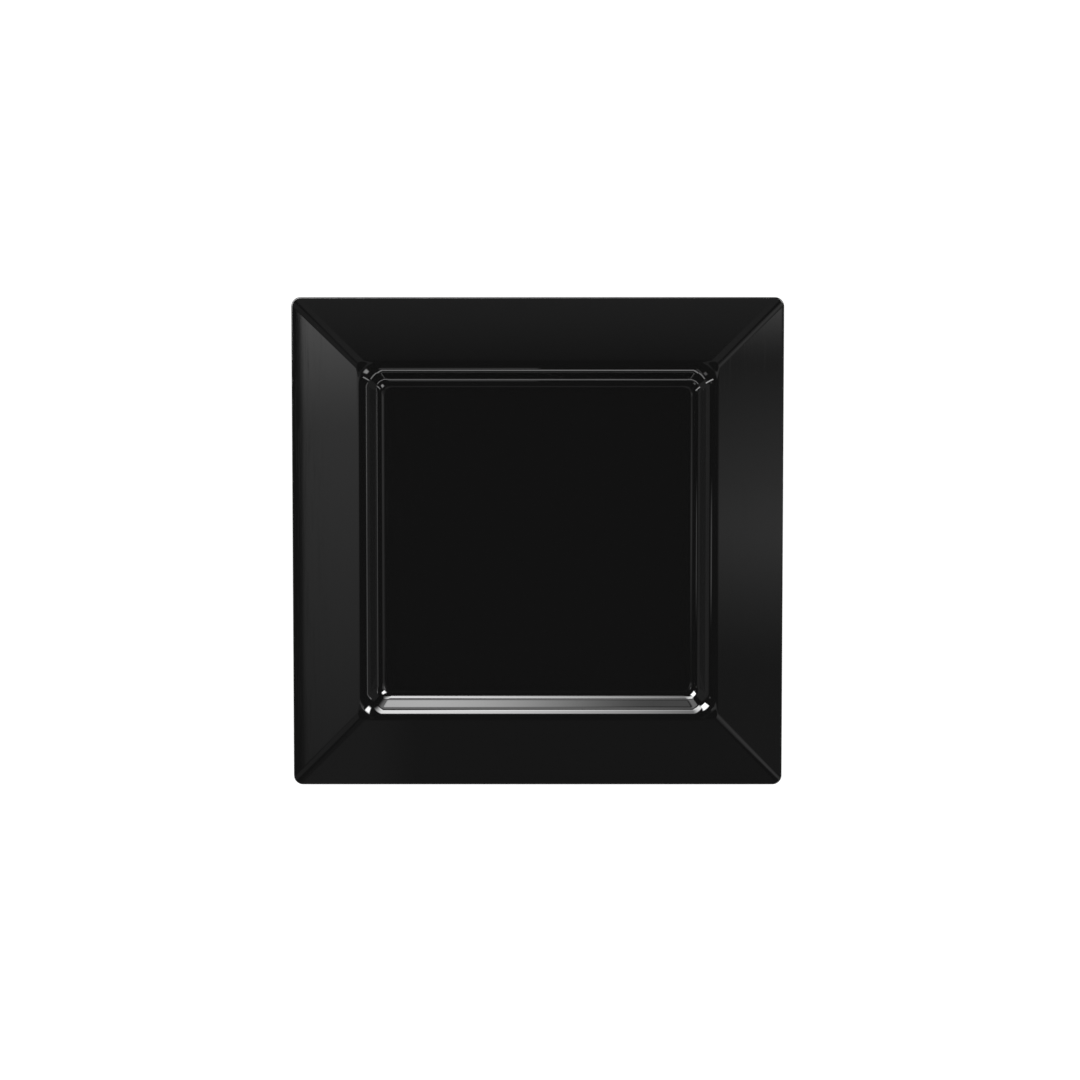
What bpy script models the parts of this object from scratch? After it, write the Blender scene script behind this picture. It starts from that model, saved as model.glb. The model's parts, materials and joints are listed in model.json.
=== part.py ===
"""Square serving platter: one moulded shell with a mitred rim, standing on four soft pads in moulded cups."""

import math

import bmesh
import bpy

MM = 0.001

# Shell, across the middle of a side
RIM_SIDE = 300 * MM
RIM_WIDTH = 43.6 * MM
WELL_DEPTH = 9.3 * MM
WALL_THICKNESS = 4 * MM
RIM_SLOPE = math.radians(8.5)
WALL_SLOPE = math.radians(45)

# Rounds of the shell's section
FLOOR_FILLET = 9 * MM
SHOULDER_RADIUS = 14.5 * MM
UPPER_EDGE_ROUND = 1.2 * MM
LOWER_EDGE_ROUND = 2.2 * MM

# Rounds of the shell's corners, seen from above
RIM_CORNER = 5 * MM
SHOULDER_CORNER = 12.7 * MM
FLOOR_CORNER = 6.3 * MM

# How late between floor and rim the corners open out, where 1 is evenly
CORNER_OPENING = 1.5

# Foot ring under the floor
FOOT_INSET = 6 * MM
FOOT_WIDTH = 4.4 * MM
FOOT_HEIGHT = 2.4 * MM
FOOT_CORNER = 5.6 * MM
FOOT_ROUND = 0.8 * MM
FOOT_DRAFT = math.radians(12)

# Pads and the cups that hold them
PAD_DIAMETER = 12 * MM
PAD_PROUD = 0.6 * MM
PAD_ROUND = 0.7 * MM
CUP_WALL = 1.8 * MM
CUP_SHORT_OF_FOOT = 0.7 * MM
CUP_TO_FOOT = 2 * MM
SEAT_GAP = 0.3 * MM

# Steps along each kind of round
CORNER_STEPS = 6
FILLET_STEPS = 5
EDGE_STEPS = 4
TIP_STEPS = 3
PAD_STEPS = 32

# Share of a wall's room that its rounds may take up
ROUND_SHARE = 0.95

# Edges that turn by more than this are shaded sharp
SHARP_TURN = math.radians(30)

# Linear grey and roughness of each material
BLACK_MELAMINE = (0.0065, 0.09)
DARK_ELASTOMER = (0.012, 0.75)


def fit_to(room, wanted):
    """Factor that keeps rounds, which want this much room between them, inside the room they have."""
    return min(1, ROUND_SHARE * room / wanted)


# Levels and reaches that follow from the sizes above
FLOOR_BELOW = PAD_PROUD + FOOT_HEIGHT
FLOOR_ABOVE = FLOOR_BELOW + WALL_THICKNESS
RIM_ROOT = RIM_SIDE / 2 - RIM_WIDTH
WALL_ROOT = RIM_ROOT - WELL_DEPTH / math.tan(WALL_SLOPE)
FLOOR_TURN = math.tan(WALL_SLOPE / 2)
SHOULDER_TURN = math.tan((WALL_SLOPE - RIM_SLOPE) / 2)
WALL_ROUNDS = FLOOR_FILLET * FLOOR_TURN + SHOULDER_RADIUS * SHOULDER_TURN
WALL_FIT = fit_to(WELL_DEPTH / math.sin(WALL_SLOPE), WALL_ROUNDS)
EDGE_FIT = fit_to(WALL_THICKNESS, UPPER_EDGE_ROUND + LOWER_EDGE_ROUND)
FLOOR_EDGE = WALL_ROOT - WALL_FIT * FLOOR_FILLET * FLOOR_TURN
RIM_START = RIM_ROOT + WALL_FIT * SHOULDER_RADIUS * SHOULDER_TURN * math.cos(RIM_SLOPE)
FOOT_OUTER = FLOOR_EDGE - FOOT_INSET
FOOT_INNER = FOOT_OUTER - FOOT_WIDTH
CUP_BORE = PAD_DIAMETER / 2 + SEAT_GAP
CUP_OUTER = CUP_BORE + CUP_WALL
PAD_REACH = FOOT_INNER - max(CUP_OUTER + CUP_TO_FOOT, FOOT_CORNER)


def clear_scene():
    for obj in list(bpy.data.objects):
        bpy.data.objects.remove(obj, do_unlink=True)


def make_material(name, finish):
    grey, roughness = finish
    material = bpy.data.materials.new(name)
    material.use_nodes = True
    shader = material.node_tree.nodes["Principled BSDF"]
    shader.inputs["Base Color"].default_value = (grey, grey, grey, 1)
    shader.inputs["Roughness"].default_value = roughness
    shader.inputs["Metallic"].default_value = 0
    return material


def rounded_square(bm, half, level, corner):
    """One level loop of points, anticlockwise from above: a square of this half side with round corners."""
    loop = []
    for quarter in range(4):
        start = math.pi / 2 * quarter
        middle = math.sqrt(2) * (half - corner)
        across = middle * math.cos(start + math.pi / 4)
        along = middle * math.sin(start + math.pi / 4)
        for angle in steps_between(start, start + math.pi / 2, CORNER_STEPS):
            x = across + corner * math.cos(angle)
            y = along + corner * math.sin(angle)
            loop.append(bm.verts.new((x, y, level)))
    return loop


def circle(bm, centre, radius, level):
    """One level loop of points round a centre, anticlockwise from above."""
    loop = []
    for step in range(PAD_STEPS):
        angle = math.tau * step / PAD_STEPS
        x = centre[0] + radius * math.cos(angle)
        y = centre[1] + radius * math.sin(angle)
        loop.append(bm.verts.new((x, y, level)))
    return loop


def skin(bm, loops):
    """Faces between each loop and the next."""
    for first, second in zip(loops, loops[1:]):
        for i in range(len(first)):
            j = (i + 1) % len(first)
            bm.faces.new((first[i], first[j], second[j], second[i]))


def edges_of(bm, loop):
    return [bm.edges.get((a, b)) for a, b in zip(loop, loop[1:] + loop[:1])]


def steps_between(first, last, count):
    return [first + (last - first) * step / count for step in range(count + 1)]


def rim_level(half):
    """Level of the rim's upper face at this half side."""
    return FLOOR_ABOVE + WELL_DEPTH + (half - RIM_ROOT) * math.tan(RIM_SLOPE)


def well_corner(half):
    """Corner radius of the upper skin at this half side, which opens out from the floor's edge to the shoulder."""
    share = (half - FLOOR_EDGE) / (RIM_START - FLOOR_EDGE)
    return FLOOR_CORNER + (SHOULDER_CORNER - FLOOR_CORNER) * share**CORNER_OPENING


def upper_section():
    """Stations (half side, level, corner, tilt) of the upper skin, from the floor's edge out to the rim's edge.

    Tilt is how far the skin's normal leans towards the middle, so it is also the skin's slope.
    """
    section = []
    fillet = WALL_FIT * FLOOR_FILLET
    for tilt in steps_between(0, WALL_SLOPE, FILLET_STEPS):
        half = FLOOR_EDGE + fillet * math.sin(tilt)
        level = FLOOR_ABOVE + fillet * (1 - math.cos(tilt))
        section.append((half, level, well_corner(half), tilt))

    shoulder = WALL_FIT * SHOULDER_RADIUS
    centre_half = RIM_START + shoulder * math.sin(RIM_SLOPE)
    centre_level = rim_level(RIM_START) - shoulder * math.cos(RIM_SLOPE)
    for tilt in steps_between(WALL_SLOPE, RIM_SLOPE, FILLET_STEPS)[:-1]:
        half = centre_half - shoulder * math.sin(tilt)
        level = centre_level + shoulder * math.cos(tilt)
        section.append((half, level, well_corner(half), tilt))

    # Where the shoulder runs out, the corner tightens to the rim's own, which the mitre keeps
    rim_end = RIM_SIDE / 2 - EDGE_FIT * UPPER_EDGE_ROUND * (1 + math.sin(RIM_SLOPE))
    for half in (RIM_START, rim_end):
        section.append((half, rim_level(half), RIM_CORNER, RIM_SLOPE))
    return section


def edge_section():
    """Stations (half side, level, corner) round the rim's edge, down from the upper face to the lower one."""
    upper = EDGE_FIT * UPPER_EDGE_ROUND
    lower = EDGE_FIT * LOWER_EDGE_ROUND
    stations = []
    for radius, depth, first, last in (
        (upper, upper, RIM_SLOPE, -math.pi / 2),
        (lower, WALL_THICKNESS - lower, -math.pi / 2, RIM_SLOPE - math.pi),
    ):
        centre_half = RIM_SIDE / 2 - radius
        centre_level = rim_level(centre_half) - depth / math.cos(RIM_SLOPE)
        for turn in steps_between(first, last, EDGE_STEPS):
            half = centre_half - radius * math.sin(turn)
            level = centre_level + radius * math.cos(turn)
            stations.append((half, level))
    face_end = stations[0][0]
    return [(half, level, RIM_CORNER + half - face_end) for half, level in stations[1:]]


def lower_station(half, level, corner, tilt):
    """The lower skin's station, one wall thickness under the upper skin's along the normal."""
    shift = WALL_THICKNESS * math.sin(tilt)
    return half + shift, level - WALL_THICKNESS * math.cos(tilt), corner + shift


def foot_section():
    """Stations (half side, level, corner) of the foot ring, from its outer root over its tip to its inner root."""
    lean = FOOT_HEIGHT * math.tan(FOOT_DRAFT)
    tip = FOOT_ROUND * fit_to(FOOT_WIDTH / 2 - lean, FOOT_ROUND)
    tip = tip * fit_to(FOOT_HEIGHT, tip)
    stations = [(FOOT_OUTER, FLOOR_BELOW)]
    for angle in steps_between(0, math.pi / 2, TIP_STEPS):
        half = FOOT_OUTER - lean - tip * (1 - math.cos(angle))
        stations.append((half, PAD_PROUD + tip * (1 - math.sin(angle))))
    for angle in steps_between(math.pi / 2, 0, TIP_STEPS):
        half = FOOT_INNER + lean + tip * (1 - math.cos(angle))
        stations.append((half, PAD_PROUD + tip * (1 - math.sin(angle))))
    stations.append((FOOT_INNER, FLOOR_BELOW))
    return [(half, level, FOOT_CORNER + half - FOOT_INNER) for half, level in stations]


def pad_centres():
    """Name and place of each pad, inside the corners of the foot ring."""
    centres = {}
    for depth, y in (("front", -PAD_REACH), ("back", PAD_REACH)):
        for side, x in (("left", -PAD_REACH), ("right", PAD_REACH)):
            centres[f"foot_pad_{depth}_{side}"] = (x, y)
    return centres


def add_cup(bm, centre):
    """A round cup wall under the floor. Returns its outer root, the loop that the floor's underside meets."""
    lip = PAD_PROUD + CUP_SHORT_OF_FOOT
    outer_root = circle(bm, centre, CUP_OUTER, FLOOR_BELOW)
    outer_lip = circle(bm, centre, CUP_OUTER, lip)
    inner_lip = circle(bm, centre, CUP_BORE, lip)
    inner_root = circle(bm, centre, CUP_BORE, FLOOR_BELOW)
    skin(bm, [outer_root, outer_lip, inner_lip, inner_root])
    bm.faces.new(inner_root)
    return outer_root


def fill_level(bm, loops):
    """Flat underside between these loops."""
    edges = [edge for loop in loops for edge in edges_of(bm, loop)]
    bmesh.ops.triangle_fill(bm, edges=edges, use_beauty=True, normal=(0, 0, -1))


def make_body():
    """The shell: floor, well wall, shoulder, mitred rim, and the foot ring and cups under the floor."""
    bm = bmesh.new()
    upper = upper_section()
    lower = [lower_station(*station) for station in reversed(upper[:-1])]
    stations = [station[:3] for station in upper] + edge_section() + lower
    shell = [rounded_square(bm, *station) for station in stations]
    skin(bm, shell)
    bm.faces.new(shell[0])

    foot = [rounded_square(bm, *station) for station in foot_section()]
    skin(bm, foot)
    cups = [add_cup(bm, centre) for centre in pad_centres().values()]
    fill_level(bm, [shell[-1], foot[0]])
    fill_level(bm, [foot[-1]] + cups)
    return finish_mesh(bm, "platter_body")


def make_pad():
    """A pad with its tread on the ground and a round edge, one seat gap short of the cup's bottom."""
    bm = bmesh.new()
    radius = PAD_DIAMETER / 2
    loops = []
    for angle in steps_between(math.pi / 2, 0, TIP_STEPS):
        tread = radius - PAD_ROUND * (1 - math.cos(angle))
        loops.append(circle(bm, (0, 0), tread, PAD_ROUND * (1 - math.sin(angle))))
    loops.append(circle(bm, (0, 0), radius, FLOOR_BELOW - SEAT_GAP))
    skin(bm, loops)
    bm.faces.new(loops[0])
    bm.faces.new(loops[-1])
    return finish_mesh(bm, "foot_pad")


def finish_mesh(bm, name):
    bmesh.ops.recalc_face_normals(bm, faces=bm.faces)
    mesh = bpy.data.meshes.new(name)
    bm.to_mesh(mesh)
    bm.free()
    mesh.shade_smooth()
    mesh.set_sharp_from_angle(angle=SHARP_TURN)
    return mesh


def place(name, mesh, parent, location=(0, 0, 0)):
    obj = bpy.data.objects.new(name, mesh)
    bpy.context.scene.collection.objects.link(obj)
    obj.parent = parent
    obj.location = location


def main():
    clear_scene()
    platter = bpy.data.objects.new("square_serving_platter", None)
    bpy.context.scene.collection.objects.link(platter)

    body_mesh = make_body()
    body_mesh.materials.append(make_material("black_melamine", BLACK_MELAMINE))
    place("platter_body", body_mesh, platter)

    pad_mesh = make_pad()
    pad_mesh.materials.append(make_material("dark_elastomer", DARK_ELASTOMER))
    for name, (x, y) in pad_centres().items():
        place(name, pad_mesh, platter, (x, y, 0))


main()
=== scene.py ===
"""Looks of a square serving platter: the polished moulding, its soft pads and a plain studio round them."""

import json
import math
from collections import namedtuple

import bmesh
import bpy
from bpy.props import FloatProperty, FloatVectorProperty, PointerProperty
from mathutils import Matrix, Vector


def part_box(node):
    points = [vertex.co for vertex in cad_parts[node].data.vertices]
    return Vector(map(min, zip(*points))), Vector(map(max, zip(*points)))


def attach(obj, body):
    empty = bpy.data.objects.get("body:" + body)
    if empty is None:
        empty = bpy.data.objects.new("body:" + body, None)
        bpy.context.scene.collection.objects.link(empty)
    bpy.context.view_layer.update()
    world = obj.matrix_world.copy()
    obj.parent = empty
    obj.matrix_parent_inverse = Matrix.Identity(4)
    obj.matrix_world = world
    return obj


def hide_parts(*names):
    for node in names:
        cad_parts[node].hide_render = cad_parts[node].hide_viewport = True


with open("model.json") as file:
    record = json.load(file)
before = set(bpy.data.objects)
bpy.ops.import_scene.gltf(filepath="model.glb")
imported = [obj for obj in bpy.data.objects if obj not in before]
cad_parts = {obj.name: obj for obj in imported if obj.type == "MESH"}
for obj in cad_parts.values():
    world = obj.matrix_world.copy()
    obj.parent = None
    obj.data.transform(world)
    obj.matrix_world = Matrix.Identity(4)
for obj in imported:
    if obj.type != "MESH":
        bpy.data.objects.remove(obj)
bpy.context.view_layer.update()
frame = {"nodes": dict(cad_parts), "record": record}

bl_info = {
    "name": "Square Serving Platter",
    "version": (1, 0, 0),
    "blender": (4, 5, 0),
    "location": "View3D > Sidebar > Platter",
    "description": "Dresses a square serving platter and sets up a plain studio round it",
    "category": "Object",
}

MM = 0.001
MICRON = 0.000001

# The frame gives the rim's size, the level of each flat and the pads
BODY = "platter_body"
PADS = sorted(name for name in frame["nodes"] if name.startswith("foot_pad_"))
BODY_LOW, BODY_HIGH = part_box(BODY)
SERVING_LEVEL = {mount["name"]: mount["pos_m"][2] for mount in frame["record"]["mounts"]}["serving_floor"]

# Steps along each kind of round
CORNER_STEPS = 24
FILLET_STEPS = 36
MITRE_STEPS = 16
EDGE_STEPS = 10
TIP_STEPS = 6
CIRCLE_STEPS = 96
GROOVE_STEPS = 8

# Material slots of the body's mesh
POLISHED, SATIN = 0, 1

# Full weight, at which a point's normal follows its largest face
NORMAL_WEIGHT = 100


def linear(hexadecimal):
    """Linear red, green and blue of an sRGB colour such as 1a1a1a."""
    parts = [int(hexadecimal[i:i + 2], 16) / 255 for i in (0, 2, 4)]
    return tuple(part / 12.92 if part <= 0.04045 else ((part + 0.055) / 1.055) ** 2.4 for part in parts)


def length(name, description, default):
    return FloatProperty(
        name=name, description=description, default=default, min=0, precision=4, unit="LENGTH"
    )


def angle(name, description, degrees):
    return FloatProperty(name=name, description=description, default=math.radians(degrees), unit="ROTATION")


def share(name, description, default):
    return FloatProperty(
        name=name, description=description, default=default, min=0, max=1, subtype="FACTOR"
    )


def colour(name, description, hexadecimal):
    return FloatVectorProperty(
        name=name, description=description, default=linear(hexadecimal), min=0, max=1, subtype="COLOR"
    )


class ShellSizes(bpy.types.PropertyGroup):
    """Section and corners of the moulded shell. Corner radii are as seen from above."""

    side: length("Rim side", "Side of the square rim", BODY_HIGH.x - BODY_LOW.x)
    rim_width: length("Rim width", "Width of the sloped rim, seen from above", 43.6 * MM)
    well_depth: length("Well depth", "Depth of the well under the rim's inner line", 9.3 * MM)
    thickness: length("Wall thickness", "Thickness of the moulding", 4 * MM)
    rim_slope: angle("Rim slope", "Rise of the rim from the level", 8.5)
    wall_slope: angle("Wall slope", "Rise of the well's wall from the level", 45)
    floor_fillet: length("Floor fillet", "Radius between floor and wall", 9 * MM)
    shoulder: length("Shoulder", "Radius between wall and rim", 14.5 * MM)
    upper_edge: length("Upper edge", "Radius of the rim's upper edge", 0.6 * MM)
    lower_edge: length("Lower edge", "Radius of the rim's lower edge", 2.2 * MM)
    rim_corner: length("Rim corner", "Corner radius of the rim's edge", 5 * MM)
    shoulder_corner: length("Shoulder corner", "Corner radius where the shoulder meets the rim", 12.7 * MM)
    floor_corner: length("Floor corner", "Corner radius of the flat floor", 6.3 * MM)
    opening: FloatProperty(
        name="Corner opening", description="How late the corners open out, where 1 is evenly", default=1.5
    )
    mitre_ease: share("Mitre ease", "Last part of the slope, in which corners tighten to the rim's", 0.1)


class FootSizes(bpy.types.PropertyGroup):
    """Foot ring and pad cups under the floor."""

    inset: length("Foot inset", "From the floor's edge in to the foot ring", 6 * MM)
    width: length("Foot width", "Width of the foot ring at its root", 4.4 * MM)
    corner: length("Foot corner", "Inner corner radius of the foot ring", 5.6 * MM)
    draft: angle("Foot draft", "Lean of the foot ring's sides, so that the mould lets go", 12)
    tip_round: length("Foot round", "Radius of the foot ring's tip", 0.8 * MM)
    root_fillet: length("Root fillet", "Radius where foot ring and cups grow from the floor", 0.6 * MM)
    cup_gap: length("Cup gap", "Play between a pad and its cup", 0.3 * MM)
    cup_wall: length("Cup wall", "Thickness of a cup's wall", 1.8 * MM)
    cup_short: length("Cup step", "How far a cup's lip stays short of the foot ring's tip", 0.7 * MM)
    cup_round: length("Cup round", "Radius of a cup's lip", 0.45 * MM)
    cup_seat: length("Cup seat", "Radius at the bottom of a cup", 0.25 * MM)


class PadSizes(bpy.types.PropertyGroup):
    """Soft pads that the platter stands on."""

    edge_round: length("Tread edge", "Radius of the tread's edge", 0.7 * MM)
    back_round: length("Back edge", "Radius of the edge inside the cup", 0.3 * MM)
    groove_pitch: length("Groove pitch", "From one ring groove of the tread to the next", 1.7 * MM)
    groove_width: length("Groove width", "Width of a ring groove", 0.7 * MM)
    groove_depth: length("Groove depth", "Depth of a ring groove", 0.35 * MM)


class PlatterFinish(bpy.types.PropertyGroup):
    """Colours and gloss of the platter's materials."""

    melamine: colour("Melamine", "Black of the moulding", "101010")
    worn: colour("Worn melamine", "Grey of the moulding where it rubs", "222221")
    gloss: share("Polished roughness", "Roughness left by the polished half of the mould", 0.02)
    satin: share("Satin roughness", "Roughness left by the textured half of the mould", 0.36)
    elastomer: colour("Elastomer", "Dark grey of the pads", "1c1c1d")
    bloom: colour("Elastomer bloom", "Pale film on the pads", "2c2c2c")


class StudioSettings(bpy.types.PropertyGroup):
    """Camera and floor."""

    lens: FloatProperty(
        name="Lens", description="Focal length in millimetres", default=158, subtype="DISTANCE_CAMERA"
    )
    distance: length("Distance", "From the camera to the point it looks at", 2.9)
    tilt: angle("Tilt", "How far the camera leans from straight above towards the back", 6.5)
    aside: length("Aim aside", "Point looked at, to the right of the middle", 1.38 * MM)
    behind: length("Aim behind", "Point looked at, behind the middle", 1.4 * MM)
    floor_radius: length("Floor radius", "Radius of the pale floor", 4)
    floor_colour: colour("Floor", "Pale grey of the floor", "949494")


# Loops of points, and the faces between them


def steps_between(first, last, count):
    return [first + (last - first) * step / count for step in range(count + 1)]


def arc(centre, radius, first, last, count):
    """Points (out, level) of a round about a centre, between two angles in degrees from outwards."""
    points = []
    for turn in steps_between(math.radians(first), math.radians(last), count):
        points.append((centre[0] + radius * math.cos(turn), centre[1] + radius * math.sin(turn)))
    return points


def rounded_square(bm, half, level, corner):
    """One level loop of points, anticlockwise from above: a square of this half side with round corners."""
    loop = []
    for quarter in range(4):
        start = math.pi / 2 * quarter
        middle = math.sqrt(2) * (half - corner)
        across = middle * math.cos(start + math.pi / 4)
        along = middle * math.sin(start + math.pi / 4)
        for turn in steps_between(start, start + math.pi / 2, CORNER_STEPS):
            x = across + corner * math.cos(turn)
            y = along + corner * math.sin(turn)
            loop.append(bm.verts.new((x, y, level)))
    return loop


def circle(bm, centre, radius, level):
    """One level loop of points round a centre, anticlockwise from above."""
    loop = []
    for step in range(CIRCLE_STEPS):
        turn = math.tau * step / CIRCLE_STEPS
        x = centre[0] + radius * math.cos(turn)
        y = centre[1] + radius * math.sin(turn)
        loop.append(bm.verts.new((x, y, level)))
    return loop


def skin(bm, loops, slot=0):
    """Faces between each loop and the next, in this material slot."""
    for first, second in zip(loops, loops[1:]):
        for i in range(len(first)):
            j = (i + 1) % len(first)
            face = bm.faces.new((first[i], first[j], second[j], second[i]))
            face.material_index = slot


def fill_level(bm, loops):
    """Flat underside between these loops."""
    edges = [bm.edges.get((a, b)) for loop in loops for a, b in zip(loop, loop[1:] + loop[:1])]
    filled = bmesh.ops.triangle_fill(bm, edges=edges, use_beauty=True, normal=(0, 0, -1))
    for item in filled["geom"]:
        if isinstance(item, bmesh.types.BMFace):
            item.material_index = SATIN


def mark_wear(bm, loops):
    """Points of these loops rub against the table, other ware or hands."""
    layer = bm.verts.layers.float["wear"]
    for loop in loops:
        for vert in loop:
            vert[layer] = 1


def add_piece(bm, name, materials):
    """A smooth mesh object of this name, standing in the frame's place."""
    bmesh.ops.recalc_face_normals(bm, faces=bm.faces)
    mesh = bpy.data.meshes.new(name)
    bm.to_mesh(mesh)
    bm.free()
    mesh.shade_smooth()
    for material in materials:
        mesh.materials.append(material)
    piece = bpy.data.objects.new(name, mesh)
    bpy.context.scene.collection.objects.link(piece)
    # Flat faces keep their own normal, so that only the rounds bend what they mirror
    even = piece.modifiers.new("Even normals", "WEIGHTED_NORMAL")
    even.mode = "FACE_AREA"
    even.weight = NORMAL_WEIGHT
    return piece


# The shell


def floor_reach(shell):
    """Half side of the flat floor, at the foot of its fillet."""
    rim_root = shell.side / 2 - shell.rim_width
    wall_root = rim_root - shell.well_depth / math.tan(shell.wall_slope)
    return wall_root - shell.floor_fillet * math.tan(shell.wall_slope / 2)


def rim_start(shell):
    """Half side where the shoulder runs out into the rim's flat face."""
    turn = math.tan((shell.wall_slope - shell.rim_slope) / 2)
    return shell.side / 2 - shell.rim_width + shell.shoulder * turn * math.cos(shell.rim_slope)


def well_corner(shell, half):
    """Corner radius of the upper skin at this half side.

    It opens out from the floor's edge to the shoulder. Where the shoulder runs out into the rim it tightens
    to the rim's own, which the mitre keeps.
    """
    reach = floor_reach(shell)
    part = (half - reach) / (rim_start(shell) - reach)
    corner = shell.floor_corner + (shell.shoulder_corner - shell.floor_corner) * part**shell.opening
    late = max(0, part - 1 + shell.mitre_ease) / shell.mitre_ease
    return corner + (shell.rim_corner - corner) * late**2 * (3 - 2 * late)


def rim_level(shell, half):
    """Level of the rim's upper face at this half side."""
    rim_root = shell.side / 2 - shell.rim_width
    return SERVING_LEVEL + shell.well_depth + (half - rim_root) * math.tan(shell.rim_slope)


def upper_section(shell):
    """Stations (half side, level, corner, tilt) of the upper skin, from the floor's edge to the rim's edge.

    Tilt is how far the skin's normal leans towards the middle, so it is also the skin's slope.
    """
    section = []
    fillet = shell.floor_fillet
    reach = floor_reach(shell)
    for tilt in steps_between(0, shell.wall_slope, FILLET_STEPS):
        half = reach + fillet * math.sin(tilt)
        level = SERVING_LEVEL + fillet * (1 - math.cos(tilt))
        section.append((half, level, well_corner(shell, half), tilt))

    shoulder = shell.shoulder
    face_start = rim_start(shell)
    centre_half = face_start + shoulder * math.sin(shell.rim_slope)
    centre_level = rim_level(shell, face_start) - shoulder * math.cos(shell.rim_slope)
    for tilt in steps_between(shell.wall_slope, shell.rim_slope, FILLET_STEPS):
        half = centre_half - shoulder * math.sin(tilt)
        level = centre_level + shoulder * math.cos(tilt)
        section.append((half, level, well_corner(shell, half), tilt))

    rim_end = shell.side / 2 - shell.upper_edge * (1 + math.sin(shell.rim_slope))
    for half in steps_between(face_start, rim_end, MITRE_STEPS)[1:]:
        section.append((half, rim_level(shell, half), shell.rim_corner, shell.rim_slope))
    return section


def edge_section(shell):
    """Stations (half side, level, corner) round the rim's edge, from its upper face to its lower one."""
    points = []
    lean = math.degrees(shell.rim_slope)
    depth = shell.thickness - shell.lower_edge
    for radius, below, first, last in (
        (shell.upper_edge, shell.upper_edge, 90 + lean, 0),
        (shell.lower_edge, depth, 0, lean - 90),
    ):
        half = shell.side / 2 - radius
        level = rim_level(shell, half) - below / math.cos(shell.rim_slope)
        points += arc((half, level), radius, first, last, EDGE_STEPS)
    face_end = points[0][0]
    return [(half, level, shell.rim_corner + half - face_end) for half, level in points[1:]]


def lower_section(shell, upper):
    """Stations (half side, level, corner) of the lower skin, a wall's thickness off the upper one."""
    section = []
    for half, level, corner, tilt in reversed(upper[:-1]):
        shift = shell.thickness * math.sin(tilt)
        section.append((half + shift, level - shell.thickness * math.cos(tilt), corner + shift))
    return section


def foot_section(shell, foot):
    """Stations (half side, level, corner) of the foot ring, from outer root over its tip to inner root."""
    outer = floor_reach(shell) - foot.inset
    inner = outer - foot.width
    under = SERVING_LEVEL - shell.thickness
    tip = BODY_LOW.z
    lean = math.tan(foot.draft)
    slant = math.cos(foot.draft)
    root = foot.root_fillet
    rounding = foot.tip_round
    degrees = math.degrees(foot.draft)
    root_centre = (outer - root * lean + root / slant, under - root)
    tip_centre = (outer - (under - tip - rounding) * lean - rounding / slant, tip + rounding)
    side = arc(root_centre, root, 90, 180 - degrees, TIP_STEPS)
    side += arc(tip_centre, rounding, -degrees, -90, TIP_STEPS)
    points = side + [(outer + inner - half, level) for half, level in reversed(side)]
    return [(half, level, foot.corner + half - inner) for half, level in points]


def cup_section(shell, foot, pad_radius):
    """Points (radius, level) of a pad's cup, from its outer root over its lip to its bottom."""
    bore = pad_radius + foot.cup_gap
    outer = bore + foot.cup_wall
    under = SERVING_LEVEL - shell.thickness
    lip = BODY_LOW.z + foot.cup_short
    root, rounding, seat = foot.root_fillet, foot.cup_round, foot.cup_seat
    return (
        arc((outer + root, under - root), root, 90, 180, TIP_STEPS)
        + arc((outer - rounding, lip + rounding), rounding, 0, -90, TIP_STEPS)
        + arc((bore + rounding, lip + rounding), rounding, -90, -180, TIP_STEPS)
        + arc((bore - seat, under - seat), seat, 0, 90, TIP_STEPS)
    )


def pad_place(node):
    """Middle of a pad, seen from above, and its radius."""
    low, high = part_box(node)
    return (low + high) / 2, (high.x - low.x) / 2


def build_shell(shell, foot):
    """Mesh of the shell: floor, wall, shoulder and rim above, foot ring and the pads' cups below."""
    bm = bmesh.new()
    bm.verts.layers.float.new("wear")
    upper = upper_section(shell)
    edge = edge_section(shell)
    above = [rounded_square(bm, *station[:3]) for station in upper]
    round_edge = [rounded_square(bm, *station) for station in edge]
    below = [rounded_square(bm, *station) for station in lower_section(shell, upper)]
    upper_round = round_edge[:EDGE_STEPS + 1]
    skin(bm, above + upper_round, POLISHED)
    skin(bm, round_edge[EDGE_STEPS:] + below, SATIN)
    bm.faces.new(above[0]).material_index = POLISHED
    mark_wear(bm, upper_round[:-1])

    foot_ring = [rounded_square(bm, *station) for station in foot_section(shell, foot)]
    skin(bm, foot_ring, SATIN)
    middle = len(foot_ring) // 2
    mark_wear(bm, foot_ring[middle - TIP_STEPS:middle + TIP_STEPS])
    roots = []
    for node in PADS:
        centre, radius = pad_place(node)
        cup = [circle(bm, centre, *point) for point in cup_section(shell, foot, radius)]
        skin(bm, cup, SATIN)
        bm.faces.new(cup[-1]).material_index = SATIN
        roots.append(cup[0])
    fill_level(bm, [below[-1], foot_ring[0]])
    fill_level(bm, [foot_ring[-1]] + roots)
    return bm


def build_pad(node, sizes):
    """Mesh of one pad: ring grooves in the tread, a round tread edge, and a plain back inside the cup."""
    centre, radius = pad_place(node)
    low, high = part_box(node)
    back = sizes.back_round
    tread = radius - sizes.edge_round
    points = []
    middle = sizes.groove_pitch
    while middle + sizes.groove_width < tread:
        for part in steps_between(-1, 1, GROOVE_STEPS):
            depth = sizes.groove_depth * (1 + math.cos(math.pi * part)) / 2
            points.append((middle + part * sizes.groove_width / 2, low.z + depth))
        middle += sizes.groove_pitch
    points += arc((tread, low.z + sizes.edge_round), sizes.edge_round, -90, 0, TIP_STEPS)
    points += arc((radius - back, high.z - back), back, 0, 90, TIP_STEPS)

    bm = bmesh.new()
    loops = [circle(bm, centre, *point) for point in points]
    skin(bm, loops)
    bm.faces.new(loops[0])
    bm.faces.new(loops[-1])
    return bm


# Materials

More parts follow.
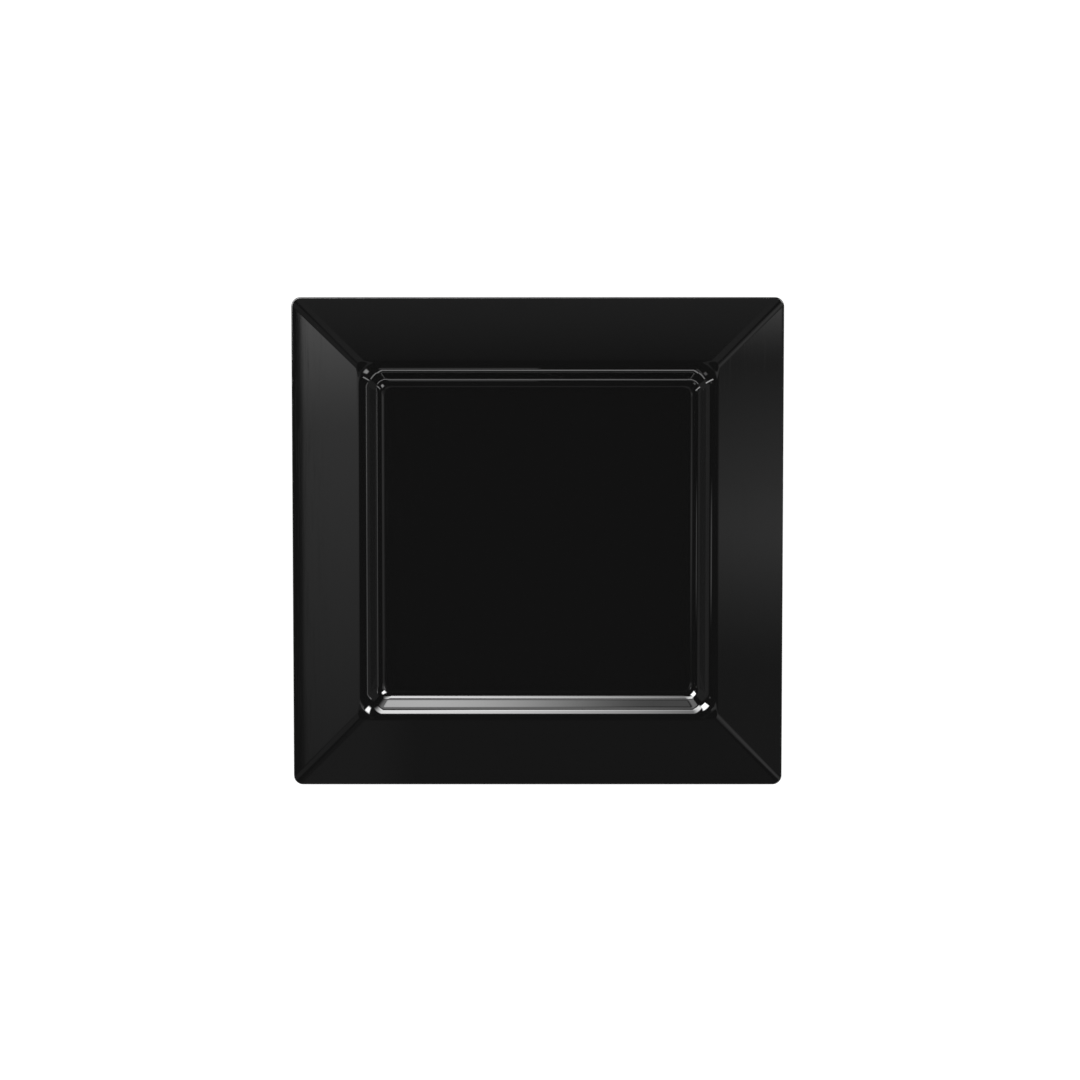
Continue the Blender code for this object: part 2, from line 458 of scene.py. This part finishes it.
# Settings of a Map Range node that ramps smoothly, from 0 to 1 where its user says nothing else
SMOOTH = {"interpolation_type": "SMOOTHSTEP"}

# Sockets of a Mix node that hold its two colours and their mix, by number because others share their names
FIRST_COLOUR, SECOND_COLOUR, MIXED_COLOUR = 6, 7, 2

# Hardened melamine resin has an index of refraction of about 1.6, and silicone elastomer about 1.41
MELAMINE_IOR = 1.6
ELASTOMER_IOR = 1.41

# A pressed face is flat to a few microns over the width of a finger, and its polish has faint orange peel
SINK_SIZE, SINK_DEPTH = 45 * MM, 6 * MICRON
PEEL_SIZE, PEEL_DEPTH = 2.2 * MM, 0.15 * MICRON

# Hairlines left by wiping are some 0.03 mm wide, and drawn coarser here so that they show at all.
# They run three ways, which are turns in radians.
HAIRLINE_WIDTH, HAIRLINE_RUN = 0.35 * MM, 40 * MM
HAIRLINE_ROUGHNESS = 0.07
HAIRLINE_TURNS = (0.5, 1.9, 2.8)
HAIRLINE_RAMP = {**SMOOTH, "From Min": 0.7, "From Max": 0.8}

# Rubbed places are broken up into patches
RUB_SIZE = 6 * MM
RUB_RAMP = {**SMOOTH, "From Min": 0.4, "From Max": 0.7}
RUBBED_ROUGHNESS = 0.2

# Spark-eroded texture of the mould's lower half is some 0.1 mm across, and drawn coarser here
ERODED_SIZE, ERODED_DEPTH = 0.45 * MM, 9 * MICRON

# Satin varies in clouds, by this share of its roughness
CLOUD_SIZE = 30 * MM
CLOUD_RAMP = {**SMOOTH, "From Min": 0.3, "From Max": 0.7}
CLOUD_SHARE = 0.1

# Grain of the pads' mould, drawn coarser than its real 0.1 mm
GRAIN_SIZE, GRAIN_DEPTH = 0.35 * MM, 14 * MICRON

# Bloom lies on the pads in specks, and is rougher than what it covers
BLOOM_SIZE = 3 * MM
BLOOM_RAMP = {**SMOOTH, "From Min": 0.35, "From Max": 0.75}
CLEAN_ROUGHNESS, BLOOM_ROUGHNESS = 0.68, 0.85


def add_node(tree, kind, settings=None, links=None):
    """Outputs of a new node, with these settings, which are sockets or else properties, and these links."""
    node = tree.nodes.new("ShaderNode" + kind)
    for name, value in (settings or {}).items():
        if isinstance(name, int) or name in node.inputs:
            node.inputs[name].default_value = value
        else:
            setattr(node, name, value)
    for name, source in (links or {}).items():
        tree.links.new(source, node.inputs[name])
    return node.outputs


def new_material(name):
    """A material of this name, and its node tree, still empty."""
    material = bpy.data.materials.new(name)
    material.use_nodes = True
    material.node_tree.nodes.clear()
    return material, material.node_tree


def rubbed(tree, place):
    """Factor of wear: broken patches along the points that the mesh marks as rubbed."""
    marked = add_node(tree, "Attribute", {"attribute_name": "wear"})["Fac"]
    cloud = add_node(tree, "TexNoise", {"Scale": 1 / RUB_SIZE, "Detail": 4}, {"Vector": place})["Fac"]
    patches = add_node(tree, "MapRange", RUB_RAMP, {"Value": cloud})["Result"]
    return add_node(tree, "Math", {"operation": "MULTIPLY"}, {0: marked, 1: patches})["Value"]


def polished_melamine(finish):
    """Melamine pressed on a polished mould: a deep black under a clear, almost mirror-like face.

    Lamps show in it with sharp edges, bent a little where the face sank.
    Wiping leaves hairlines in the gloss.
    """
    material, tree = new_material("moulded melamine, polished")
    place = add_node(tree, "TexCoord")["Object"]
    wear = rubbed(tree, place)
    pair = {"data_type": "RGBA", FIRST_COLOUR: (*finish.melamine, 1), SECOND_COLOUR: (*finish.worn, 1)}
    black = add_node(tree, "Mix", pair, {0: wear})[MIXED_COLOUR]

    rub = {**SMOOTH, "To Max": RUBBED_ROUGHNESS}
    roughness = add_node(tree, "MapRange", rub, {"Value": wear})["Result"]
    gloss = {**SMOOTH, "To Min": finish.gloss, "To Max": HAIRLINE_ROUGHNESS}
    stretch = (1 / HAIRLINE_WIDTH, 1 / HAIRLINE_RUN, 1 / HAIRLINE_RUN)
    for turn in HAIRLINE_TURNS:
        settings = {"Rotation": (0, 0, turn), "Scale": stretch}
        turned = add_node(tree, "Mapping", settings, {"Vector": place})["Vector"]
        streaks = add_node(tree, "TexNoise", {"Scale": 1, "Detail": 0}, {"Vector": turned})["Fac"]
        hairlines = add_node(tree, "MapRange", HAIRLINE_RAMP, {"Value": streaks})["Result"]
        wiped = add_node(tree, "MapRange", gloss, {"Value": hairlines})["Result"]
        roughness = add_node(tree, "Math", {"operation": "MAXIMUM"}, {0: roughness, 1: wiped})["Value"]

    sink = add_node(tree, "TexNoise", {"Scale": 1 / SINK_SIZE, "Detail": 0}, {"Vector": place})["Fac"]
    sunk = add_node(tree, "Bump", {"Distance": SINK_DEPTH}, {"Height": sink})["Normal"]
    peel = add_node(tree, "TexNoise", {"Scale": 1 / PEEL_SIZE, "Detail": 1}, {"Vector": place})["Fac"]
    relief = add_node(tree, "Bump", {"Distance": PEEL_DEPTH}, {"Height": peel, "Normal": sunk})["Normal"]
    look = {"Base Color": black, "Roughness": roughness, "Normal": relief}
    face = add_node(tree, "BsdfPrincipled", {"IOR": MELAMINE_IOR}, look)["BSDF"]
    add_node(tree, "OutputMaterial", links={"Surface": face})
    return material


def satin_melamine(finish):
    """Melamine pressed on a spark-eroded mould: the same black, with a fine grain that gives it a sheen."""
    material, tree = new_material("moulded melamine, satin")
    place = add_node(tree, "TexCoord")["Object"]
    wear = rubbed(tree, place)
    pair = {"data_type": "RGBA", FIRST_COLOUR: (*finish.melamine, 1), SECOND_COLOUR: (*finish.worn, 1)}
    black = add_node(tree, "Mix", pair, {0: wear})[MIXED_COLOUR]

    cloud = add_node(tree, "TexNoise", {"Scale": 1 / CLOUD_SIZE, "Detail": 2}, {"Vector": place})["Fac"]
    ends = {"To Min": finish.satin * (1 - CLOUD_SHARE), "To Max": finish.satin * (1 + CLOUD_SHARE)}
    roughness = add_node(tree, "MapRange", {**CLOUD_RAMP, **ends}, {"Value": cloud})["Result"]

    grain = add_node(tree, "TexNoise", {"Scale": 1 / ERODED_SIZE, "Detail": 2}, {"Vector": place})["Fac"]
    relief = add_node(tree, "Bump", {"Distance": ERODED_DEPTH}, {"Height": grain})["Normal"]
    look = {"Base Color": black, "Roughness": roughness, "Normal": relief}
    face = add_node(tree, "BsdfPrincipled", {"IOR": MELAMINE_IOR}, look)["BSDF"]
    add_node(tree, "OutputMaterial", links={"Surface": face})
    return material


def moulded_elastomer(finish):
    """Silicone elastomer from a grained mould: matt, dark, with a pale bloom of dust that clings to it."""
    material, tree = new_material("moulded elastomer")
    place = add_node(tree, "TexCoord")["Object"]
    specks = add_node(tree, "TexNoise", {"Scale": 1 / BLOOM_SIZE, "Detail": 4}, {"Vector": place})["Fac"]
    film = add_node(tree, "MapRange", BLOOM_RAMP, {"Value": specks})["Result"]
    pair = {"data_type": "RGBA", FIRST_COLOUR: (*finish.elastomer, 1), SECOND_COLOUR: (*finish.bloom, 1)}
    grey = add_node(tree, "Mix", pair, {0: film})[MIXED_COLOUR]
    ends = {"To Min": CLEAN_ROUGHNESS, "To Max": BLOOM_ROUGHNESS}
    roughness = add_node(tree, "MapRange", {**SMOOTH, **ends}, {"Value": film})["Result"]

    grain = add_node(tree, "TexNoise", {"Scale": 1 / GRAIN_SIZE, "Detail": 2}, {"Vector": place})["Fac"]
    relief = add_node(tree, "Bump", {"Distance": GRAIN_DEPTH}, {"Height": grain})["Normal"]
    look = {"Base Color": grey, "Roughness": roughness, "Normal": relief}
    face = add_node(tree, "BsdfPrincipled", {"IOR": ELASTOMER_IOR}, look)["BSDF"]
    add_node(tree, "OutputMaterial", links={"Surface": face})
    return material


# Studio

# A soft box has a name, a place, what it faces, its size, and its radiance, where 1 is paper white.
# Fades are how far in from its left, right, lower and upper edge it grows to full strength, as seen from
# the platter. With a grid it throws its light about straight ahead only.
Softbox = namedtuple("Softbox", "name place aim size radiance fades grid", defaults=[(0, 0, 0, 0), False])

SOFTBOXES = [
    # Behind the platter, for the well's front wall and front right corner
    Softbox("key", (-0.035, 0.3425, 0.37), (-0.035, -0.073, 0.01),
            (0.53, 0.22), 14, (0.04, 0.4, 0.03, 0.04), grid=True),
    Softbox("key_wing", (-0.29, 0.217, 0.507), (0.1, -0.1, 0.01),
            (0.28, 0.3), 22, (0.02, 0.08, 0.03, 0.05)),
    Softbox("key_edge", (0.06, 0.45, 0.329), (0.06, -0.1, 0.01),
            (0.36, 0.099), 4.5, (0.1, 0.25, 0.0275, 0.0275)),
    Softbox("key_foot", (-0.115, 0.494, 0.09), (-0.115, -0.1, 0.09),
            (0.41, 0.132), 6.2, (0.055, 0.18, 0, 0.022)),
    Softbox("key_gap", (-0.0255, 0.4885, 0.2025), (-0.0255, -0.1, 0.2025),
            (0.601, 0.121), 2.2, (0.055, 0.3, 0.022, 0)),
    Softbox("back_card", (0, 0.505, 0.065), (0, -0.1, 0.065),
            (0.7, 0.088), 0.9),
    # In front of it, for the back wall
    Softbox("front_strip", (0, -0.95, 0.286), (0, 0.1, 0.286),
            (0.52, 0.142), 2.5, (0, 0, 0.015, 0.015)),
    Softbox("front_strip_right", (0.5, -0.76, 0.335), (-0.1, 0.1, 0.335),
            (0.64, 0.13), 2.4, (0, 0.1, 0.02, 0.02)),
    Softbox("front_strip_left", (-0.5, -0.76, 0.335), (0.1, 0.1, 0.335),
            (0.64, 0.13), 2.4, (0.1, 0, 0.02, 0.02)),
    Softbox("front_card", (-0.35, -0.95, 0.52), (-0.35, 0.1, 0.01),
            (0.7, 0.1), 0.55, (0, 0.15, 0, 0)),
    # At its sides, each for the wall on the other side
    Softbox("right_strip", (0.9, 0.05, 0.4), (-0.1, 0.05, 0.01),
            (0.4, 0.12), 2.3, (0, 0.2, 0.03, 0.03)),
    Softbox("right_strip_end", (0.9, -0.13, 0.4), (-0.1, -0.13, 0.01),
            (0.36, 0.12), 0.8, (0.15, 0.06, 0.03, 0.03)),
    Softbox("right_card", (1.2, 0, 0.3), (0, 0, 0.3),
            (1.6, 0.6), 0.12),
    Softbox("left_card", (-1.2, 0, 0.3), (0, 0, 0.3),
            (1.6, 0.6), 0.16),
    Softbox("left_spot", (-0.89, -0.15, 0.74), (0.1, -0.05, 0.01),
            (0.14, 0.2), 0.9, (0.05, 0.05, 0.08, 0.08)),
    # Beyond the front corners, tall and narrow, for thin lines across the back corners
    Softbox("right_pole", (1.71, -0.95, 1.45), (-0.1, 0.1, 1.45),
            (0.14, 2), 3.5, (0, 0, 0.8, 0)),
    Softbox("left_pole", (-1.84, -0.69, 1.4), (0.1, 0.1, 1.4),
            (0.16, 2), 6),
    # Beyond three of the corners, each for a spot in the corner across from it
    Softbox("back_right", (0.46, 0.31, 1.14), (-0.1, -0.1, 0.01),
            (0.25, 0.65), 20, (0.05, 0.05, 0.2, 0.2)),
    Softbox("front_right", (0.474, -0.589, 1.09), (-0.1, 0.1, 0.01),
            (0.26, 0.5), 4, (0.08, 0.08, 0.15, 0.15)),
    Softbox("front_left", (-0.5, -0.65, 0.66), (0.1, 0.1, 0.01),
            (0.25, 0.3), 1.2, (0.08, 0.08, 0.08, 0.08)),
]

# Panels under the ceiling face straight down, for the rim's faces and the floor: name, middle, size,
# radiance and fades. Each hangs a step above the one before, because panels in one plane would hide
# each other where they overlap.
CEILING_LEVEL, CEILING_STEP = 3.2, 0.01
CEILING_PANELS = [
    ("right_panel", (1.213, -0.37), (1.114, 1.46), 0.68, (0.38, 0, 1.46, 0)),
    ("right_glow", (0.8915, 0.01), (0.471, 0.5), 0.78, (0.2, 0, 0.22, 0.1)),
    ("right_corner", (0.415, -0.355), (0.39, 0.41), 0.11, (0, 0.03, 0.05, 0)),
    ("left_panel", (-0.8, -0.28), (1.2, 0.56), 0.56, (0.1, 1.2, 0.25, 0.4)),
    ("left_end", (-0.79, 0.05), (0.3, 0.4), 1.25, (0, 0.1, 0.15, 0.1)),
    ("ceiling_front", (0, -0.88), (1.24, 0.64), 0.14, (0.1, 0.1, 0.16, 0.1)),
    ("ceiling_back", (0, 0.22), (1.2, 0.62), 0.035, (0.1, 0.1, 0.1, 0.1)),
    ("left_front", (-0.725, -0.545), (0.35, 0.51), 0.06, (0.05, 0.05, 0.05, 0.1)),
    ("left_back", (-0.24, 0.31), (0.18, 0.24), 0.055, (0.08, 0.03, 0.03, 0.03)),
]

# A honeycomb grid is open up to 26 degrees off its axis and shut from 37 degrees on, as 1 less the cosine
GRID_OPEN, GRID_SHUT = 0.1, 0.2

# Share of up or down in a panel's facing from which on its own up is towards the back, not the sky
STEEP = 0.99

# What glossy faces see past the floor: a grey horizon, and a dim room above it
HORIZON_RISE = 0.035
HORIZON_LIGHT = 0.3
ROOM_LIGHT = 0.03

# The floor's own glow, as the camera sees it and as the platter does
FLOOR_GLOW = 0.88
FLOOR_BOUNCE = 0.35


def ceiling_softboxes():
    """The panels under the ceiling, as soft boxes at their levels."""
    boxes = []
    for step, (name, (x, y), size, radiance, fades) in enumerate(CEILING_PANELS):
        level = CEILING_LEVEL + step * CEILING_STEP
        boxes.append(Softbox(name, (x, y, level), (x, y, 0), size, radiance, fades))
    return boxes


def facing(place, aim):
    """Matrix of a panel at a place that faces the aim, with its own up towards the sky or the back."""
    front = (Vector(aim) - Vector(place)).normalized()
    up = Vector((0, 0, 1)) if abs(front.z) < STEEP else Vector((0, 1, 0))
    right = up.cross(front).normalized()
    basis = Matrix((right, front.cross(right), front)).transposed()
    return Matrix.Translation(place) @ basis.to_4x4()


def softbox_diffuser(box):
    """Glowing cloth of a soft box: even in the middle, fading to its edges, clear to light from behind."""
    material, tree = new_material("soft box diffuser, " + box.name)
    behind = add_node(tree, "NewGeometry")["Backfacing"]
    ahead = {**SMOOTH, "To Min": box.radiance, "To Max": 0}
    strengths = [add_node(tree, "MapRange", ahead, {"Value": behind})["Result"]]

    place = add_node(tree, "TexCoord")["Object"]
    axes = add_node(tree, "SeparateXYZ", links={"Vector": place})
    right, top = box.size[0] / 2, box.size[1] / 2
    edges = [(axes["X"], -right), (axes["X"], right), (axes["Y"], -top), (axes["Y"], top)]
    for (along, edge), fade in zip(edges, box.fades):
        if fade:
            inwards = {**SMOOTH, "From Min": edge, "From Max": edge - math.copysign(fade, edge)}
            strengths.append(add_node(tree, "MapRange", inwards, {"Value": along})["Result"])
    if box.grid:
        off_axis = add_node(tree, "LayerWeight")["Facing"]
        opening = {**SMOOTH, "From Min": GRID_SHUT, "From Max": GRID_OPEN}
        strengths.append(add_node(tree, "MapRange", opening, {"Value": off_axis})["Result"])

    strength = strengths[0]
    for other in strengths[1:]:
        strength = add_node(tree, "Math", {"operation": "MULTIPLY"}, {0: strength, 1: other})["Value"]
    glow = add_node(tree, "Emission", links={"Strength": strength})["Emission"]
    clear = add_node(tree, "BsdfTransparent")["BSDF"]
    both = add_node(tree, "AddShader", links={0: glow, 1: clear})["Shader"]
    add_node(tree, "OutputMaterial", links={"Surface": both})
    return material


def add_softbox(box):
    """A panel that glows to its front, and that the camera itself doesn't see."""
    width, height = box.size
    mesh = bpy.data.meshes.new(box.name)
    corners = [(x * width / 2, y * height / 2, 0) for x, y in ((-1, -1), (1, -1), (1, 1), (-1, 1))]
    mesh.from_pydata(corners, [], [(0, 1, 2, 3)])
    mesh.materials.append(softbox_diffuser(box))
    panel = bpy.data.objects.new("softbox_" + box.name, mesh)
    panel.matrix_world = facing(box.place, box.aim)
    panel.visible_camera = False
    panel.visible_diffuse = False
    panel.visible_shadow = False
    bpy.context.scene.collection.objects.link(panel)


def ray_kinds(tree, *kinds):
    """1 for rays of any of these kinds, 0 for others."""
    path = add_node(tree, "LightPath")
    found = path[f"Is {kinds[0]} Ray"]
    for kind in kinds[1:]:
        either = {0: found, 1: path[f"Is {kind} Ray"]}
        found = add_node(tree, "Math", {"operation": "MAXIMUM"}, either)["Value"]
    return found


def white_paper(studio):
    """Matt paper with a glow that makes it white where it is lit. From below it is clear."""
    material, tree = new_material("matt white paper")
    matt = add_node(tree, "BsdfDiffuse", {"Color": (*studio.floor_colour, 1)})["BSDF"]
    seen = ray_kinds(tree, "Camera", "Transmission")
    ends = {"To Min": FLOOR_BOUNCE, "To Max": FLOOR_GLOW}
    strength = add_node(tree, "MapRange", {**SMOOTH, **ends}, {"Value": seen})["Result"]
    glow = add_node(tree, "Emission", links={"Strength": strength})["Emission"]
    lit = add_node(tree, "AddShader", links={0: matt, 1: glow})["Shader"]
    clear = add_node(tree, "BsdfTransparent")["BSDF"]
    behind = add_node(tree, "NewGeometry")["Backfacing"]
    paper = add_node(tree, "MixShader", links={0: behind, 1: lit, 2: clear})["Shader"]
    add_node(tree, "OutputMaterial", links={"Surface": paper})
    return material


def add_floor(studio):
    """Round pale floor that keeps the platter's shadow, and lets a view from below through."""
    bm = bmesh.new()
    bmesh.ops.create_circle(bm, cap_ends=True, segments=CIRCLE_STEPS, radius=studio.floor_radius)
    mesh = bpy.data.meshes.new("floor")
    bm.to_mesh(mesh)
    bm.free()
    mesh.materials.append(white_paper(studio))
    floor = bpy.data.objects.new("floor", mesh)
    bpy.context.scene.collection.objects.link(floor)


def add_world():
    """White behind the object, and for its glossy faces a room, grey at the horizon and dim above."""
    world = bpy.data.worlds.new("studio room")
    world.use_nodes = True
    tree = world.node_tree
    tree.nodes.clear()
    direction = add_node(tree, "TexCoord")["Generated"]
    height = add_node(tree, "SeparateXYZ", links={"Vector": direction})["Z"]
    rise = {**SMOOTH, "From Max": HORIZON_RISE, "To Min": HORIZON_LIGHT, "To Max": ROOM_LIGHT}
    room = add_node(tree, "MapRange", rise, {"Value": height})["Result"]
    plain = ray_kinds(tree, "Camera", "Transmission", "Diffuse")
    strength = add_node(tree, "Math", {"operation": "MAXIMUM"}, {0: room, 1: plain})["Value"]
    light = add_node(tree, "Background", {"Color": (1, 1, 1, 1)}, {"Strength": strength})["Background"]
    add_node(tree, "OutputWorld", links={"Surface": light})
    bpy.context.scene.world = world


def add_camera(studio):
    """Camera above the platter, leaning a little towards its back."""
    data = bpy.data.cameras.new("camera")
    data.lens = studio.lens
    camera = bpy.data.objects.new("camera", data)
    aim = Vector((studio.aside, studio.behind, BODY_HIGH.z))
    back = Vector((0, math.sin(studio.tilt), math.cos(studio.tilt)))
    camera.location = aim + studio.distance * back
    camera.rotation_euler = (-studio.tilt, 0, 0)
    bpy.context.scene.collection.objects.link(camera)
    bpy.context.scene.camera = camera


# Operators, and the panel that lists them


class PLATTER_OT_shell(bpy.types.Operator):
    """Build the moulded shell with its polished upper face and satin underside"""

    bl_idname = "platter.shell"
    bl_label = "Shell"
    bl_options = {"REGISTER", "UNDO"}

    def execute(self, context):
        scene = context.scene
        finish = scene.platter_finish
        bm = build_shell(scene.platter_shell, scene.platter_foot)
        shell = add_piece(bm, "moulded_shell", [polished_melamine(finish), satin_melamine(finish)])
        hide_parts(BODY)
        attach(shell, "root")
        return {"FINISHED"}


class PLATTER_OT_pads(bpy.types.Operator):
    """Build the four soft pads with their grooved treads"""

    bl_idname = "platter.pads"
    bl_label = "Pads"
    bl_options = {"REGISTER", "UNDO"}

    def execute(self, context):
        scene = context.scene
        material = moulded_elastomer(scene.platter_finish)
        for node in PADS:
            bm = build_pad(node, scene.platter_pads)
            pad = add_piece(bm, node.replace("foot_", "tread_"), [material])
            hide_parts(node)
            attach(pad, "root")
        return {"FINISHED"}


class PLATTER_OT_stage(bpy.types.Operator):
    """Set up the floor, the room, the soft boxes and the camera"""

    bl_idname = "platter.stage"
    bl_label = "Stage"
    bl_options = {"REGISTER", "UNDO"}

    def execute(self, context):
        studio = context.scene.platter_studio
        context.scene.view_settings.view_transform = "Standard"
        add_floor(studio)
        add_world()
        for box in SOFTBOXES + ceiling_softboxes():
            add_softbox(box)
        add_camera(studio)
        return {"FINISHED"}


class PLATTER_PT_panel(bpy.types.Panel):
    """Steps that dress the platter, with the sizes and colours that they use"""

    bl_idname = "PLATTER_PT_panel"
    bl_label = "Serving Platter"
    bl_space_type = "VIEW_3D"
    bl_region_type = "UI"
    bl_category = "Platter"

    def draw(self, context):
        for operator, groups in STEPS:
            box = self.layout.box()
            box.operator(operator)
            for group in groups:
                settings = getattr(context.scene, group)
                for name in type(settings).__annotations__:
                    box.prop(settings, name)


STEPS = [
    ("platter.shell", ("platter_shell", "platter_foot", "platter_finish")),
    ("platter.pads", ("platter_pads",)),
    ("platter.stage", ("platter_studio",)),
]
GROUPS = {
    "platter_shell": ShellSizes,
    "platter_foot": FootSizes,
    "platter_pads": PadSizes,
    "platter_finish": PlatterFinish,
    "platter_studio": StudioSettings,
}
CLASSES = [*GROUPS.values(), PLATTER_OT_shell, PLATTER_OT_pads, PLATTER_OT_stage, PLATTER_PT_panel]


def register():
    for cls in CLASSES:
        bpy.utils.register_class(cls)
    for name, group in GROUPS.items():
        setattr(bpy.types.Scene, name, PointerProperty(type=group))


def unregister():
    for name in GROUPS:
        delattr(bpy.types.Scene, name)
    for cls in reversed(CLASSES):
        bpy.utils.unregister_class(cls)


def main():
    register()
    bpy.ops.platter.shell()
    bpy.ops.platter.pads()
    bpy.ops.platter.stage()


if __name__ == "__main__":
    main()
